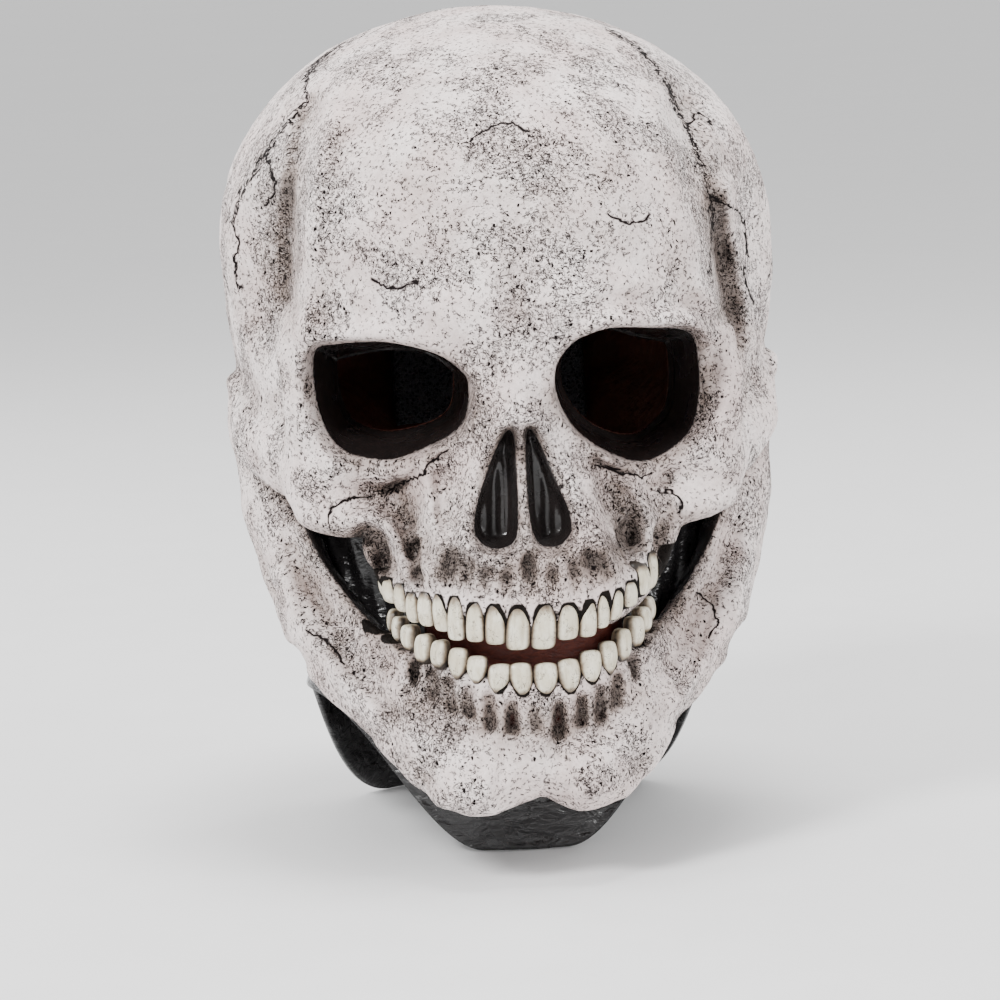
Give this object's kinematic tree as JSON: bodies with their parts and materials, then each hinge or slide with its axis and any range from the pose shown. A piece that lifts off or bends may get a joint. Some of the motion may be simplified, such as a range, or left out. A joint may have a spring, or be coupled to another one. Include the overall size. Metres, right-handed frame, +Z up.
{
  "type": "full head latex skull mask",
  "caption": "Full-head latex skull mask with open eye sockets, a sprung hinged jaw, foam fitting pads, a neck hem and a hook-and-loop nape closure.",
  "frame": {"origin": "bottom centre of the mask's bounding box, at the height of its neck hem", "axes": "+Z up through the crown, the face looks along -Y, +X is the wearer's left"},
  "size_m": [0.184, 0.229, 0.276],
  "materials": {
    "bone_latex": "satin latex, airbrushed and dry-brushed as aged bone",
    "tooth_latex": "semi-gloss ivory paint on latex",
    "black_latex": "gloss black latex paint",
    "foam": "matte open-cell foam",
    "elastic_web": "woven elastic webbing",
    "hook_tape": "nylon hook tape",
    "loop_tape": "brushed nylon loop tape"
  },
  "bodies": {
    "skull": {"skull_shell": "bone_latex", "eye_socket_left": "black_latex", "eye_socket_right": "black_latex", "nose_cavity": "black_latex", "nasal_septum": "bone_latex", "upper_teeth": "tooth_latex", "neck_cowl": "black_latex", "cheek_membrane_left": "black_latex", "cheek_membrane_right": "black_latex", "throat_membrane": "black_latex", "forehead_pad": "foam", "crown_pad": "foam", "nape_pad": "foam", "temple_pad_left": "foam", "temple_pad_right": "foam", "closure_loop_patch": "loop_tape"},
    "jaw": {"jaw_shell": "bone_latex", "lower_teeth": "tooth_latex", "chin_cup": "foam"},
    "nape_tab": {"closure_tab": "elastic_web", "closure_hook_patch": "hook_tape"}
  },
  "joints": [
    {"name": "jaw_hinge", "type": "hinge", "parent": "skull", "child": "jaw", "pos_m": [0, -0.008, 0.138], "axis": [1, 0, 0], "range_deg": [-1.5, 10], "stiffness_Nm_per_rad": 1.5, "springref_deg": -1.72, "deforming": ["cheek_membrane_left", "cheek_membrane_right", "throat_membrane"]},
    {"name": "nape_tab_hinge", "type": "hinge", "parent": "skull", "child": "nape_tab", "pos_m": [-0.027, 0.079, 0.032], "axis": [0, 0, 1], "range_deg": [0, 95]}
  ]
}
